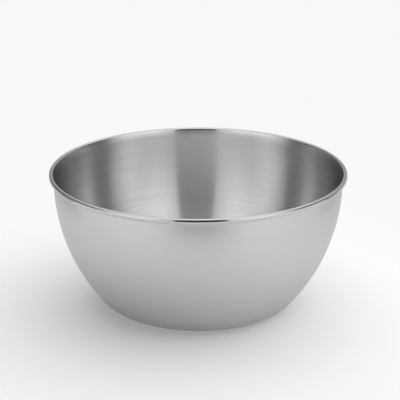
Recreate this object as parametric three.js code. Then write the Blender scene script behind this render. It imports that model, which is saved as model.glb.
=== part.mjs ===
// A deep round salad bowl of stainless steel, 28 cm across and 13 cm high.
// Its shell is one drawn sheet: a base with a pressed-up middle, a curved wall that stands
// upright near the mouth and flares a little, and an edge rolled outwards over a stiffening wire.
// Millimetres, +Z up. The origin is the middle of the base, level with the table.

import * as THREE from "three";

// Driving dimensions of the shell
const RIM_DIAMETER = 280; // over the rolled edge
const HEIGHT = 130; // from the table to the top of the rolled edge
const SHEET = 0.6; // thickness of the steel
const BASE_DIAMETER = 154; // outer edge of the flat ring that stands on the table
const BASE_CORNER_RADIUS = 23; // outside of the bend from the base into the wall
const STANDING_RING_WIDTH = 10; // the flat ring itself
const DISH_RISE = 1.2; // how far the base is pressed up inside the ring
const DISH_BEND_RADIUS = 6; // middle of the sheet, at both bends of that step
const FLARE_RADIUS = 40; // middle of the sheet, where the wall leans out below the rolled edge
const FLARE_DEGREES = 10;
const ROLL_DROP = 0.9; // the upright face on the outside of the rolled edge

// Driving dimensions of the wired edge
const WIRE_DIAMETER = 2.4;
const WIRE_CLEARANCE = 0.3; // between the wire and the sheet round it
const WIRE_BUTT_GAP = 0.8; // between the two ends of the wire
const EDGE_GAP = 0.3; // between the sheet's rolled-in edge and the wall

// Counts of flat facets
const ROUND_STEPS = 64; // once round the bowl
const DISH_BEND_STEPS = 3;
const CORNER_STEPS = 6;
const WALL_STEPS = 11;
const FLARE_STEPS = 2;
const ROLL_OVER_STEPS = 9;
const ROLL_UNDER_STEPS = 6;
const WIRE_SIDES = 8;

// The rolled edge: its bore holds the wire, and it goes round the wire's centre over the top
const boreRadius = WIRE_DIAMETER / 2 + WIRE_CLEARANCE;
const rollRadius = boreRadius + SHEET;
const rollLineRadius = boreRadius + SHEET / 2; // middle of the sheet
const rollCentreRadius = RIM_DIAMETER / 2 - rollRadius;
const rollCentreHeight = HEIGHT - rollRadius;

// The wall leans out into the rolled edge: where the flare ends and, lower down, where it starts
const flareAngle = THREE.MathUtils.degToRad(FLARE_DEGREES);
const flareEndRadius = rollCentreRadius - rollLineRadius * Math.cos(flareAngle);
const flareStartRadius = flareEndRadius - FLARE_RADIUS * (1 - Math.cos(flareAngle));
const flareStartHeight = rollCentreHeight - (FLARE_RADIUS - rollLineRadius) * Math.sin(flareAngle);

// The wall's outer face is one arc, upright where the flare starts and tangent to the base corner
const baseRadius = BASE_DIAMETER / 2;
const wallTopRadius = flareStartRadius + SHEET / 2;
const cornerCentre = new THREE.Vector2(baseRadius, BASE_CORNER_RADIUS);
const wallReach = wallTopRadius - baseRadius;
const wallRise = flareStartHeight - BASE_CORNER_RADIUS;
const wallRadius =
  (wallReach ** 2 + wallRise ** 2 - BASE_CORNER_RADIUS ** 2) / (2 * (wallReach - BASE_CORNER_RADIUS));
const wallCentre = new THREE.Vector2(wallTopRadius - wallRadius, flareStartHeight);
const towardsCorner = cornerCentre.clone().sub(wallCentre);
const cornerAngle = Math.atan2(towardsCorner.x, -towardsCorner.y);

// The step between the dished middle of the base and the ring is an S of two equal bends
const dishBendAngle = Math.acos(1 - DISH_RISE / (2 * DISH_BEND_RADIUS));
const dishStepWidth = 2 * DISH_BEND_RADIUS * Math.sin(dishBendAngle);
const dishRadius = baseRadius - STANDING_RING_WIDTH - dishStepWidth;

// The roll goes over the top, down its upright face and back in under the wire, until its edge is
// EDGE_GAP from the line of the flare's end
const edgeRoom = rollCentreRadius - flareEndRadius - SHEET / 2 - EDGE_GAP;
const tuckAngle = Math.asin(edgeRoom / rollRadius);
const rollOverAngle = Math.PI - flareAngle;
const rollUnderAngle = Math.PI / 2 + tuckAngle;

// The middle line of a bent sheet, drawn from the axis outwards in the plane of radius and height.
// Its left side becomes the inside of the bowl, and its right side the outside.
class SheetLine {
  constructor(radius, height) {
    this.point = new THREE.Vector2(radius, height);
    this.heading = 0;
    this.stations = [];
    this.note();
  }

  note() {
    const left = new THREE.Vector2(-Math.sin(this.heading), Math.cos(this.heading));
    this.stations.push({ point: this.point.clone(), left });
  }

  straight(length) {
    this.point.x += length * Math.cos(this.heading);
    this.point.y += length * Math.sin(this.heading);
    this.note();
    return this;
  }

  // Turns left by the angle, or right if it is negative, on a bend of that radius
  bend(radius, angle, steps) {
    const turn = angle / steps;
    const chord = 2 * radius * Math.sin(Math.abs(turn) / 2);
    for (let step = 0; step < steps; step++) {
      const along = this.heading + turn / 2;
      this.point.x += chord * Math.cos(along);
      this.point.y += chord * Math.sin(along);
      this.heading += turn;
      this.note();
    }
    return this;
  }

  // The closed outline of the sheet: along its outside to the free edge, and back along its inside
  outline(thickness) {
    const face = (side) =>
      this.stations.map(({ point, left }) => point.clone().addScaledVector(left, (side * thickness) / 2));
    return [...face(-1), ...face(1).reverse()];
  }
}

// The wire's middle line: a level circle that stops short of closing by the butt gap
class WireRing extends THREE.Curve {
  constructor(radius, height, gap) {
    super();
    this.radius = radius;
    this.height = height;
    this.span = 2 * Math.PI - gap / radius;
  }

  getPoint(share, target = new THREE.Vector3()) {
    const angle = share * this.span;
    return target.set(this.radius * Math.sin(angle), this.height, this.radius * Math.cos(angle));
  }
}

function bowlShell() {
  const halfSheet = SHEET / 2;
  const line = new SheetLine(0, DISH_RISE + halfSheet)
    .straight(dishRadius)
    .bend(DISH_BEND_RADIUS, -dishBendAngle, DISH_BEND_STEPS)
    .bend(DISH_BEND_RADIUS, dishBendAngle, DISH_BEND_STEPS)
    .straight(STANDING_RING_WIDTH)
    .bend(BASE_CORNER_RADIUS - halfSheet, cornerAngle, CORNER_STEPS)
    .bend(wallRadius - halfSheet, Math.PI / 2 - cornerAngle, WALL_STEPS)
    .bend(FLARE_RADIUS, -flareAngle, FLARE_STEPS)
    .bend(rollLineRadius, -rollOverAngle, ROLL_OVER_STEPS)
    .straight(ROLL_DROP)
    .bend(rollLineRadius, -rollUnderAngle, ROLL_UNDER_STEPS);
  const steel = new THREE.MeshStandardMaterial({ color: 0xc4c4c2, roughness: 0.32, metalness: 1 });
  const shell = new THREE.Mesh(new THREE.LatheGeometry(line.outline(SHEET), ROUND_STEPS), steel);
  shell.name = "bowl_shell";
  return shell;
}

function rimWire() {
  const section = new THREE.Shape().absarc(0, 0, WIRE_DIAMETER / 2, 0, 2 * Math.PI);
  const geometry = new THREE.ExtrudeGeometry(section, {
    steps: ROUND_STEPS,
    curveSegments: WIRE_SIDES / 2, // for each half of the circle
    extrudePath: new WireRing(rollCentreRadius, rollCentreHeight, WIRE_BUTT_GAP),
  });
  const steel = new THREE.MeshStandardMaterial({ color: 0xa8a8a6, roughness: 0.45, metalness: 1 });
  const wire = new THREE.Mesh(geometry, steel);
  wire.name = "rim_wire";
  return wire;
}

// Both pieces are turned about the vertical axis of three.js, so the bowl is laid over to +Z up
const bowl = new THREE.Group();
bowl.add(bowlShell(), rimWire());
bowl.rotation.x = Math.PI / 2;

export default bowl;
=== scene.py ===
import math

import bpy
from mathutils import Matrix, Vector


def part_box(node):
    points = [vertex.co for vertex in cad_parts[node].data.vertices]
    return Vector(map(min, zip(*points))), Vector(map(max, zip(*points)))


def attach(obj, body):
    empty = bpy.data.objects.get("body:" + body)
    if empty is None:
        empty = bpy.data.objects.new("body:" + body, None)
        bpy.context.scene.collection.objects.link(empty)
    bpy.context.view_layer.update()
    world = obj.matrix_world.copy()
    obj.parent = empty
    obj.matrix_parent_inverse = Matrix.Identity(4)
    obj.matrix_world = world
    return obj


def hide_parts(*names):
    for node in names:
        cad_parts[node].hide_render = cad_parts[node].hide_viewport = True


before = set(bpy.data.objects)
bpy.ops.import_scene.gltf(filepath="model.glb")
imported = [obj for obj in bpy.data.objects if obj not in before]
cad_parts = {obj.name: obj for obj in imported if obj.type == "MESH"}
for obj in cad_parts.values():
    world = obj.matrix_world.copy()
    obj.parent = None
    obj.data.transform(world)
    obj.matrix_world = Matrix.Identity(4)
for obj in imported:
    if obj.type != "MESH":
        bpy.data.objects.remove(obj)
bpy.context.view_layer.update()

# The bowl's shell.
# One sheet of stainless steel, deep drawn into a base with a pressed-up middle and a curved wall, with
# its edge rolled outwards over a wire. It is brushed inside, satin outside and polished on the edge.
MM = 0.001
SHEET = 0.6 * MM
BASE_RADIUS = 77 * MM  # outside of the flat ring that the bowl stands on
BASE_CORNER_RADIUS = 23 * MM  # outside of the bend from the base into the wall
STANDING_RING_WIDTH = 10 * MM
DISH_RISE = 1.2 * MM  # how far the middle of the base is pressed up
DISH_BEND_RADIUS = 6 * MM  # middle of the sheet, at both bends of that step
FLARE_RADIUS = 40 * MM  # middle of the sheet, just below the rolled edge
FLARE_TURN = math.radians(10)
ROLL_DROP = 0.9 * MM  # the upright face on the outside of the rolled edge
EDGE_GAP = 0.3 * MM  # between the rolled-in edge and the wall

TURN_STEPS = 256  # facets once round the bowl
DISH_BEND_STEPS = 6  # and along each bend of the sheet
CORNER_STEPS = 16
WALL_STEPS = 40
FLARE_STEPS = 8
ROLL_OVER_STEPS = 32
ROLL_UNDER_STEPS = 20
MERGE_REACH = 0.01 * MM  # points this close together are one
SMOOTH_TURN = math.radians(40)  # facets that meet at less than this look smooth

wire_low, wire_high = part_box("rim_wire")
shell_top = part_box("bowl_shell")[1].z
wire_radius = (wire_high.z - wire_low.z) / 2
roll_centre = Vector((wire_high.x - wire_radius, 0, (wire_high.z + wire_low.z) / 2))
roll_radius = shell_top - roll_centre.z - SHEET / 2  # middle of the sheet

flare_slope = Vector((math.cos(FLARE_TURN), 0, -math.sin(FLARE_TURN)))
flare_end = roll_centre - roll_radius * flare_slope
flare_centre = flare_end + FLARE_RADIUS * flare_slope

# The wall is one arc, upright at its top and tangent to the bend of the base
wall_top = flare_centre - Vector((FLARE_RADIUS, 0, 0))
corner_centre = Vector((BASE_RADIUS, 0, BASE_CORNER_RADIUS))
corner_radius = BASE_CORNER_RADIUS - SHEET / 2
reach = wall_top - corner_centre
wall_radius = (reach.length_squared - corner_radius**2) / (2 * (reach.x - corner_radius))
wall_centre = wall_top - Vector((wall_radius, 0, 0))
corner_turn = math.atan2(corner_centre.x - wall_centre.x, wall_centre.z - corner_centre.z)

dish_turn = math.acos(1 - DISH_RISE / (2 * DISH_BEND_RADIUS))
dish_step = 2 * DISH_BEND_RADIUS * math.sin(dish_turn)
ring_inside = BASE_RADIUS - STANDING_RING_WIDTH
dish_radius = ring_inside - dish_step
dish_height = DISH_RISE + SHEET / 2
edge_room = roll_centre.x - flare_end.x - SHEET / 2 - EDGE_GAP
tuck = math.asin(edge_room / (roll_radius + SHEET / 2))

LEFT = (0, 1, 0)  # the sheet's line, drawn outwards from the middle of the base, bends up
RIGHT = (0, -1, 0)  # and bends down


def draw_straight(right, up):
    bpy.ops.mesh.extrude_region_move(TRANSFORM_OT_translate={"value": (right, 0, up)})


def draw_bend(centre, angle, side, steps):
    bpy.ops.mesh.spin(steps=steps, angle=angle, center=centre, axis=side)


# The middle line of the sheet is drawn in the plane of X and Z, from the axis to the rolled edge
bpy.ops.object.select_all(action="DESELECT")
bpy.ops.mesh.primitive_plane_add(size=SHEET, location=(0, 0, dish_height))
shell = bpy.context.object
shell.name = "bowl_sheet"
bpy.ops.object.transform_apply(location=True)
bpy.ops.object.mode_set(mode="EDIT")
bpy.ops.mesh.select_all(action="SELECT")
bpy.ops.mesh.merge(type="CENTER")
draw_straight(dish_radius, 0)
draw_bend((dish_radius, 0, dish_height - DISH_BEND_RADIUS), dish_turn, RIGHT, DISH_BEND_STEPS)
draw_bend((ring_inside, 0, SHEET / 2 + DISH_BEND_RADIUS), dish_turn, LEFT, DISH_BEND_STEPS)
draw_straight(STANDING_RING_WIDTH, 0)
draw_bend(corner_centre, corner_turn, LEFT, CORNER_STEPS)
draw_bend(wall_centre, math.pi / 2 - corner_turn, LEFT, WALL_STEPS)
draw_bend(flare_centre, FLARE_TURN, RIGHT, FLARE_STEPS)
draw_bend(roll_centre, math.pi - FLARE_TURN, RIGHT, ROLL_OVER_STEPS)
draw_straight(0, -ROLL_DROP)
draw_bend(roll_centre - Vector((0, 0, ROLL_DROP)), math.pi / 2 + tuck, RIGHT, ROLL_UNDER_STEPS)

# The line is spun once round the axis and closed at the seam and the pole
bpy.ops.mesh.select_all(action="SELECT")
bpy.ops.mesh.spin(steps=TURN_STEPS, angle=2 * math.pi, center=(0, 0, 0), axis=(0, 0, 1))
bpy.ops.mesh.select_all(action="SELECT")
bpy.ops.mesh.remove_doubles(threshold=MERGE_REACH)
bpy.ops.mesh.normals_make_consistent(inside=False)
bpy.ops.object.mode_set(mode="OBJECT")

LINE_DETAIL = 2  # finer lines within each line
LINE_ROUGHNESS = 0.6
LINE_LOW, LINE_HIGH = 0.3, 0.7  # most of the noise that makes the lines lies between these
ACROSS_LINES = 0.25  # of a full turn, from the way that the lines run


def brushed_steel(
    name, colour, roughness, anisotropic, line, contrast, scatter, depth, grazing, smear=0
):
    """Steel with fine lines round the axis. It mirrors sharply along them and smears across them.

    The lines are a noise that is drawn out round the axis and as tight as line along the sheet. They
    vary the colour by the share contrast and the roughness by scatter, and are depth deep. At a grazing
    angle the steel keeps the share grazing of its shine. With smear, half of the surface is rougher by
    that much, for its deeper scratches.
    """
    material = bpy.data.materials.new(name)
    material.use_nodes = True
    nodes, links = material.node_tree.nodes, material.node_tree.links
    tangent = nodes.new("ShaderNodeTangent")
    tangent.direction_type = "RADIAL"
    tangent.axis = "Z"

    # Along the sheet a point counts by its radius plus its height, and round the axis by its heading
    place = nodes.new("ShaderNodeTexCoord")
    flat = nodes.new("ShaderNodeVectorMath")
    flat.operation = "MULTIPLY"
    flat.inputs[1].default_value = (1, 1, 0)
    radius = nodes.new("ShaderNodeVectorMath")
    radius.operation = "LENGTH"
    heading = nodes.new("ShaderNodeVectorMath")
    heading.operation = "NORMALIZE"
    height = nodes.new("ShaderNodeSeparateXYZ")
    along = nodes.new("ShaderNodeMath")
    along.operation = "ADD"
    across = nodes.new("ShaderNodeCombineXYZ")
    tight = nodes.new("ShaderNodeVectorMath")
    tight.operation = "SCALE"
    tight.inputs["Scale"].default_value = 1 / line
    lines = nodes.new("ShaderNodeVectorMath")
    lines.operation = "ADD"
    noise = nodes.new("ShaderNodeTexNoise")
    noise.inputs["Scale"].default_value = 1
    noise.inputs["Detail"].default_value = LINE_DETAIL
    noise.inputs["Roughness"].default_value = LINE_ROUGHNESS
    links.new(place.outputs["Object"], flat.inputs[0])
    links.new(place.outputs["Object"], height.inputs[0])
    links.new(flat.outputs["Vector"], radius.inputs[0])
    links.new(flat.outputs["Vector"], heading.inputs[0])
    links.new(radius.outputs["Value"], along.inputs[0])
    links.new(height.outputs["Z"], along.inputs[1])
    links.new(along.outputs[0], across.inputs["Z"])
    links.new(across.outputs[0], tight.inputs[0])
    links.new(tight.outputs["Vector"], lines.inputs[0])
    links.new(heading.outputs["Vector"], lines.inputs[1])
    links.new(lines.outputs["Vector"], noise.inputs["Vector"])

    shade = nodes.new("ShaderNodeValToRGB")
    shade.color_ramp.elements[0].position = LINE_LOW
    shade.color_ramp.elements[0].color = (*[c * (1 - contrast) for c in colour], 1)
    shade.color_ramp.elements[1].position = LINE_HIGH
    shade.color_ramp.elements[1].color = (*[c * (1 + contrast) for c in colour], 1)
    links.new(noise.outputs["Fac"], shade.inputs["Fac"])
    ridges = nodes.new("ShaderNodeBump")
    ridges.inputs["Strength"].default_value = 1
    ridges.inputs["Distance"].default_value = depth
    links.new(noise.outputs["Fac"], ridges.inputs["Height"])

    fine = nodes["Principled BSDF"]
    scratches = [(fine, roughness)]
    if smear:
        deep = nodes.new("ShaderNodeBsdfPrincipled")
        scratches.append((deep, roughness + smear))
        both = nodes.new("ShaderNodeMixShader")
        links.new(fine.outputs["BSDF"], both.inputs[1])
        links.new(deep.outputs["BSDF"], both.inputs[2])
        links.new(both.outputs["Shader"], nodes["Material Output"].inputs["Surface"])
    for steel, rough in scratches:
        steel.inputs["Metallic"].default_value = 1
        steel.inputs["Specular Tint"].default_value = (grazing, grazing, grazing, 1)
        steel.inputs["Anisotropic"].default_value = anisotropic
        steel.inputs["Anisotropic Rotation"].default_value = ACROSS_LINES
        grain = nodes.new("ShaderNodeMapRange")
        grain.inputs["From Min"].default_value = LINE_LOW
        grain.inputs["From Max"].default_value = LINE_HIGH
        grain.inputs["To Min"].default_value = rough + scatter
        grain.inputs["To Max"].default_value = rough - scatter
        links.new(noise.outputs["Fac"], grain.inputs["Value"])
        links.new(grain.outputs["Result"], steel.inputs["Roughness"])
        links.new(shade.outputs["Color"], steel.inputs["Base Color"])
        links.new(ridges.outputs["Normal"], steel.inputs["Normal"])
        links.new(tangent.outputs["Tangent"], steel.inputs["Tangent"])
    return material


BRUSHED_INSIDE = (0.72, 0.72, 0.72)
SATIN_OUTSIDE = (0.62, 0.62, 0.62)
POLISHED_EDGE = (0.55, 0.55, 0.55)
brushed_inside = brushed_steel(
    "brushed_inside",
    BRUSHED_INSIDE,
    roughness=0.2,
    anisotropic=1,
    line=1.1 * MM,
    contrast=0.065,
    scatter=0.015,
    depth=0.004 * MM,
    grazing=0.6,
    smear=0.13,
)
satin_outside = brushed_steel(
    "satin_outside",
    SATIN_OUTSIDE,
    roughness=0.37,
    anisotropic=0.3,
    line=0.8 * MM,
    contrast=0.02,
    scatter=0.01,
    depth=0.004 * MM,
    grazing=0.85,
)
polished_edge = brushed_steel(
    "polished_edge",
    POLISHED_EDGE,
    roughness=0.06,
    anisotropic=0,
    line=0.3 * MM,
    contrast=0.01,
    scatter=0.01,
    depth=0.001 * MM,
    grazing=0.85,
)
INSIDE, OUTSIDE, EDGE = range(3)  # the order of the finishes on the shell
for finish in (brushed_inside, satin_outside, polished_edge):
    shell.data.materials.append(finish)

# The sheet gets its thickness, with the second finish outside and the third on its cut edge
thicken = shell.modifiers.new("thickness", "SOLIDIFY")
thicken.thickness = SHEET
thicken.offset = 0
thicken.use_even_offset = True
thicken.material_offset = OUTSIDE - INSIDE
thicken.material_offset_rim = EDGE - INSIDE
bpy.ops.object.modifier_apply(modifier=thicken.name)
bpy.ops.object.shade_smooth_by_angle(angle=SMOOTH_TURN)

# The polish reaches the top and the upright face of the edge, and its underside is satin like the wall
for face in shell.data.polygons:
    beyond_wall = face.center.xy.length > roll_centre.x - roll_radius
    above_wall = face.center.z > roll_centre.z
    if face.material_index == INSIDE and (beyond_wall or above_wall):
        underside = face.center.z <= roll_centre.z - ROLL_DROP
        face.material_index = OUTSIDE if underside else EDGE

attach(shell, "root")
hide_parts("bowl_shell")

# The wire in the rolled edge.
# A ring of drawn steel wire with two butted ends, hidden in the bore of the edge that is rolled over it.
# It stiffens the mouth of the bowl, and the edge alone holds it.
WIRE_BUTT_GAP = 0.8 * MM
WIRE_SIDES = 24
DRAWN_WIRE = (0.5, 0.5, 0.5)
ring_turn = 2 * math.pi - WIRE_BUTT_GAP / roll_centre.x

bpy.ops.object.select_all(action="DESELECT")
bpy.ops.mesh.primitive_circle_add(
    vertices=WIRE_SIDES,
    radius=wire_radius,
    fill_type="NGON",
    location=(0, -roll_centre.x, roll_centre.z),
    rotation=(0, math.pi / 2, 0),
)
wire = bpy.context.object
wire.name = "rim_wire_ring"
bpy.ops.object.transform_apply(location=True, rotation=True)
bpy.ops.object.mode_set(mode="EDIT")
bpy.ops.mesh.select_all(action="SELECT")
bpy.ops.mesh.spin(steps=TURN_STEPS, angle=ring_turn, center=(0, 0, 0), axis=(0, 0, -1))
bpy.ops.mesh.select_all(action="SELECT")
bpy.ops.mesh.normals_make_consistent(inside=False)
bpy.ops.object.mode_set(mode="OBJECT")
bpy.ops.object.shade_smooth_by_angle(angle=SMOOTH_TURN)
drawn_wire = brushed_steel(
    "drawn_wire",
    DRAWN_WIRE,
    roughness=0.35,
    anisotropic=0.5,
    line=0.2 * MM,
    contrast=0.04,
    scatter=0.03,
    depth=0.01 * MM,
    grazing=0.85,
)
wire.data.materials.append(drawn_wire)
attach(wire, "root")
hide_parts("rim_wire")

# The floor.
# A sheet of white card, wide enough to reach past every view. It shows the bowl's soft shadow, and what
# shadow leaves of it is lifted to white, for the camera and in the steel alike.
FLOOR_RADIUS = 6
FLOOR_SIDES = 96
FLOOR_LIFT = 0.2
WHITE_CARD = (0.85, 0.85, 0.85, 1)
bpy.ops.object.select_all(action="DESELECT")
bpy.ops.mesh.primitive_circle_add(vertices=FLOOR_SIDES, radius=FLOOR_RADIUS, fill_type="NGON")
floor = bpy.context.object
floor.name = "floor"
white_card = bpy.data.materials.new("white_card")
white_card.use_nodes = True
card_nodes, card_links = white_card.node_tree.nodes, white_card.node_tree.links
paper = card_nodes["Principled BSDF"]
paper.inputs["Base Color"].default_value = WHITE_CARD
paper.inputs["Roughness"].default_value = 1
paper.inputs["Specular IOR Level"].default_value = 0
paper.inputs["Emission Color"].default_value = (1, 1, 1, 1)


def background_rays(nodes, links):
    """The value 1 for the rays that show a background: from the camera, off steel and through glass."""
    light_path = nodes.new("ShaderNodeLightPath")
    shown = light_path.outputs["Is Camera Ray"]
    for ray in ("Is Glossy Ray", "Is Transmission Ray"):
        either = nodes.new("ShaderNodeMath")
        either.operation = "MAXIMUM"
        links.new(shown, either.inputs[0])
        links.new(light_path.outputs[ray], either.inputs[1])
        shown = either.outputs[0]
    return shown


lift = card_nodes.new("ShaderNodeMath")
lift.operation = "MULTIPLY"
lift.inputs[1].default_value = FLOOR_LIFT
card_links.new(background_rays(card_nodes, card_links), lift.inputs[0])
card_links.new(lift.outputs[0], paper.inputs["Emission Strength"])
floor.data.materials.append(white_card)

# The light.
# Two tall soft boxes in front, left and right of the camera, a wide glow above and a faint one behind,
# in a dim room. The steel mirrors all of it, and the floor gets a plain fill from it.
ROOM_SHADE = 0.13  # brightness of the dim room
SOFT_BOXES = ((-42, 44, 1.38), (42, 43, 1.52))  # azimuth from the front, half width, brightness
BOX_SQUASH = 0.35  # heights count less than widths, so that the boxes are tall
BOX_FOOT = 1.36  # boxes and room are brighter by this factor at the foot
BOX_END = 0.82  # and fade out up to this height, as the sine of its elevation
BACK_GLOW = (165, 65, 0.42)  # azimuth, half width, brightness
TOP_GLOW = (76, 1.2)  # half width, brightness
ROOM_FILL = 0.05  # what the room adds to the light on the floor
world = bpy.data.worlds.new("dim_room")
bpy.context.scene.world = world
world.use_nodes = True
room_nodes, room_links = world.node_tree.nodes, world.node_tree.links
room = room_nodes["Background"]
room.inputs["Color"].default_value = (1, 1, 1, 1)
direction = room_nodes.new("ShaderNodeTexCoord")
squash = room_nodes.new("ShaderNodeVectorMath")
squash.operation = "MULTIPLY"
squash.inputs[1].default_value = (1, 1, BOX_SQUASH)
sideways = room_nodes.new("ShaderNodeVectorMath")
sideways.operation = "NORMALIZE"
shade = room_nodes.new("ShaderNodeValue")
shade.outputs[0].default_value = ROOM_SHADE
room_links.new(direction.outputs["Generated"], squash.inputs[0])
room_links.new(squash.outputs["Vector"], sideways.inputs[0])


def add_glow(shade, look, towards, half_width, brightness):
    """Adds a soft round light to the shade of the room, as the vector look sees it."""
    nearness = room_nodes.new("ShaderNodeVectorMath")
    nearness.operation = "DOT_PRODUCT"
    nearness.inputs[1].default_value = towards
    glow = room_nodes.new("ShaderNodeMapRange")
    glow.interpolation_type = "SMOOTHSTEP"
    glow.inputs["From Min"].default_value = math.cos(math.radians(half_width))
    glow.inputs["To Max"].default_value = brightness
    total = room_nodes.new("ShaderNodeMath")
    room_links.new(look, nearness.inputs[0])
    room_links.new(nearness.outputs["Value"], glow.inputs["Value"])
    room_links.new(shade.outputs[0], total.inputs[0])
    room_links.new(glow.outputs["Result"], total.inputs[1])
    return total


def add_tall_glow(shade, azimuth, half_width, brightness):
    across = math.radians(azimuth)
    towards = (math.sin(across), -math.cos(across), 0)
    return add_glow(shade, sideways.outputs["Vector"], towards, half_width, brightness)


for box in SOFT_BOXES:
    shade = add_tall_glow(shade, *box)
height = room_nodes.new("ShaderNodeSeparateXYZ")
fade = room_nodes.new("ShaderNodeMapRange")
fade.inputs["From Max"].default_value = BOX_END
fade.inputs["To Min"].default_value = BOX_FOOT
fade.inputs["To Max"].default_value = 0
faded = room_nodes.new("ShaderNodeMath")
faded.operation = "MULTIPLY"
room_links.new(direction.outputs["Generated"], height.inputs[0])
room_links.new(height.outputs["Z"], fade.inputs["Value"])
room_links.new(shade.outputs[0], faded.inputs[0])
room_links.new(fade.outputs["Result"], faded.inputs[1])
shade = add_tall_glow(faded, *BACK_GLOW)
shade = add_glow(shade, direction.outputs["Generated"], (0, 0, 1), *TOP_GLOW)
level = room_nodes.new("ShaderNodeMix")
level.data_type = "FLOAT"
level.inputs["A"].default_value = ROOM_FILL
room_links.new(background_rays(room_nodes, room_links), level.inputs["Factor"])
room_links.new(shade.outputs[0], level.inputs["B"])
room_links.new(level.outputs["Result"], room.inputs["Strength"])

# The lamp.
# A very wide soft lamp overhead, a little behind the bowl and to its right. It lights the floor, so that
# the bowl has its soft shadow, and the steel mirrors the soft boxes in its place.
LAMP_STRENGTH = 2.8
LAMP_SPREAD = math.radians(100)
LAMP_BEHIND = math.radians(15)
LAMP_RIGHT = math.radians(17)
bpy.ops.object.select_all(action="DESELECT")
bpy.ops.object.light_add(type="SUN", rotation=(-LAMP_BEHIND, LAMP_RIGHT, 0))
lamp = bpy.context.object
lamp.name = "soft_lamp"
lamp.data.energy = LAMP_STRENGTH
lamp.data.angle = LAMP_SPREAD
lamp.visible_camera = False
lamp.visible_glossy = False

# The dark gap.
# The gap between the two soft boxes and the floor at its foot, as one bent card. The steel mirrors it as
# the dark band inside the far wall and the dark dash on the near edge, and nothing else shows it.
GAP_NEAR = -0.5  # Y of its edge towards the bowl
GAP_FAR = -1.05  # Y of its fold, where it stands up
GAP_TOP = 1.7
GAP_WIDTH = 1.7
GAP_APEX = -0.09  # Y of the point from which the gap widens
GAP_GLOW = 0.045
STAGE_LIFT = 1 * MM  # keeps it clear of the floor
gap_middle = (GAP_NEAR + GAP_FAR) / 2
bpy.ops.object.select_all(action="DESELECT")
bpy.ops.mesh.primitive_plane_add(size=1, location=(0, gap_middle, STAGE_LIFT))
gap = bpy.context.object
gap.name = "box_gap"
bpy.ops.object.mode_set(mode="EDIT")
bpy.ops.mesh.select_all(action="SELECT")
bpy.ops.transform.resize(value=(GAP_WIDTH, GAP_NEAR - GAP_FAR, 1))
bpy.ops.object.mode_set(mode="OBJECT")
bpy.ops.object.transform_apply(location=True)
bpy.ops.object.mode_set(mode="EDIT")
bpy.ops.mesh.select_mode(type="VERT")
bpy.ops.mesh.select_all(action="DESELECT")
bpy.ops.object.mode_set(mode="OBJECT")
for corner in gap.data.vertices:
    corner.select = corner.co.y < gap_middle
bpy.ops.object.mode_set(mode="EDIT")
bpy.ops.mesh.extrude_edges_move(TRANSFORM_OT_translate={"value": (0, 0, GAP_TOP)})
bpy.ops.object.mode_set(mode="OBJECT")

# Its shades run from left to right, each at a slope: metres to the right for every metre from the apex
GAP_SHADES = ((-0.77, 0), (-0.33, 0.35), (-0.315, 1), (0.39, 1), (0.405, 0.3), (0.8, 0))
first_slope, last_slope = GAP_SHADES[0][0], GAP_SHADES[-1][0]
dark = bpy.data.materials.new("box_gap")
dark.use_nodes = True
gap_nodes, gap_links = dark.node_tree.nodes, dark.node_tree.links
gap_nodes.clear()
gap_surface = gap_nodes.new("ShaderNodeOutputMaterial")
veil = gap_nodes.new("ShaderNodeMixShader")
clear = gap_nodes.new("ShaderNodeBsdfTransparent")
dark_glow = gap_nodes.new("ShaderNodeEmission")
dark_glow.inputs["Strength"].default_value = GAP_GLOW
place = gap_nodes.new("ShaderNodeTexCoord")
axes = gap_nodes.new("ShaderNodeSeparateXYZ")
offset = gap_nodes.new("ShaderNodeMath")
offset.operation = "SUBTRACT"
offset.inputs[1].default_value = GAP_APEX
away = gap_nodes.new("ShaderNodeMath")
away.operation = "ABSOLUTE"
slope = gap_nodes.new("ShaderNodeMath")
slope.operation = "DIVIDE"
share = gap_nodes.new("ShaderNodeMapRange")
share.inputs["From Min"].default_value = first_slope
share.inputs["From Max"].default_value = last_slope
falloff = gap_nodes.new("ShaderNodeValToRGB")
stops = falloff.color_ramp.elements
stops.remove(stops[1])
for i, (shade_slope, darkness) in enumerate(GAP_SHADES):
    across = (shade_slope - first_slope) / (last_slope - first_slope)
    stop = stops.new(across) if i else stops[0]
    stop.position = across
    stop.color = (darkness, darkness, darkness, 1)
gap_links.new(place.outputs["Object"], axes.inputs[0])
gap_links.new(axes.outputs["Y"], offset.inputs[0])
gap_links.new(offset.outputs[0], away.inputs[0])
gap_links.new(axes.outputs["X"], slope.inputs[0])
gap_links.new(away.outputs[0], slope.inputs[1])
gap_links.new(slope.outputs[0], share.inputs["Value"])
gap_links.new(share.outputs["Result"], falloff.inputs["Fac"])
gap_links.new(falloff.outputs["Color"], veil.inputs["Fac"])
gap_links.new(clear.outputs[0], veil.inputs[1])
gap_links.new(dark_glow.outputs[0], veil.inputs[2])
gap_links.new(veil.outputs[0], gap_surface.inputs["Surface"])
gap.data.materials.append(dark)


def show_in_steel_only(card):
    card.visible_camera = False
    card.visible_diffuse = False
    card.visible_shadow = False


show_in_steel_only(gap)

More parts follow.
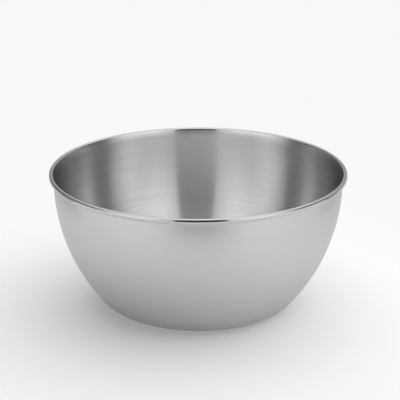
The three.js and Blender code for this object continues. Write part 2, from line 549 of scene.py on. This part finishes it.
# The dark table.
# Three dim cards that lie beside and behind the bowl. Nothing but the steel shows them, and it mirrors
# them as a darker table beyond the white floor.
TABLE_CARDS = (((-1.5, 0.03), (-0.4, 1.2)), ((0.4, 0.06), (1.5, 1.2)), ((-0.4, 0.4), (0.4, 1.2)))
TABLE_GLOW = 0.45
bpy.ops.object.select_all(action="DESELECT")
table_cards = []
for (left, front), (right, back) in TABLE_CARDS:
    middle = ((left + right) / 2, (front + back) / 2, STAGE_LIFT)
    bpy.ops.mesh.primitive_plane_add(size=1, location=middle)
    bpy.ops.transform.resize(value=(right - left, back - front, 1))
    bpy.ops.object.transform_apply(location=True, scale=True)
    table_cards.append(bpy.context.object)
for table_card in table_cards:
    table_card.select_set(True)
bpy.ops.object.join()
table = bpy.context.object
table.name = "dark_table"
dim = bpy.data.materials.new("dark_table")
dim.use_nodes = True
table_nodes, table_links = dim.node_tree.nodes, dim.node_tree.links
table_nodes.clear()
table_surface = table_nodes.new("ShaderNodeOutputMaterial")
dim_glow = table_nodes.new("ShaderNodeEmission")
dim_glow.inputs["Strength"].default_value = TABLE_GLOW
table_links.new(dim_glow.outputs[0], table_surface.inputs["Surface"])
table.data.materials.append(dim)
show_in_steel_only(table)

# The camera.
# It has a long lens and stands straight in front, a little above the rim. It looks down at the middle of
# the bowl, and its frame is shifted up, so that the bowl lies low in it.
ELEVATION = math.radians(20.61)
DISTANCE = 1.348
TARGET_HEIGHT = 0.065
LENS = 126.7  # millimetres, as the sensor is
SENSOR = 36
FRAME_PIXELS = 400  # width of the photograph
SHIFT_RIGHT = 1.86  # pixels
SHIFT_UP = 33.47
target = Vector((0, 0, TARGET_HEIGHT))
backwards = Vector((0, -math.cos(ELEVATION), math.sin(ELEVATION)))
bpy.ops.object.camera_add(location=target + DISTANCE * backwards)
camera = bpy.context.object
camera.rotation_euler = (-backwards).to_track_quat("-Z", "Y").to_euler()
camera.data.sensor_width = SENSOR
camera.data.lens = LENS
camera.data.shift_x = SHIFT_RIGHT / FRAME_PIXELS
camera.data.shift_y = SHIFT_UP / FRAME_PIXELS
bpy.context.scene.camera = camera
bpy.context.scene.view_settings.view_transform = "Standard"
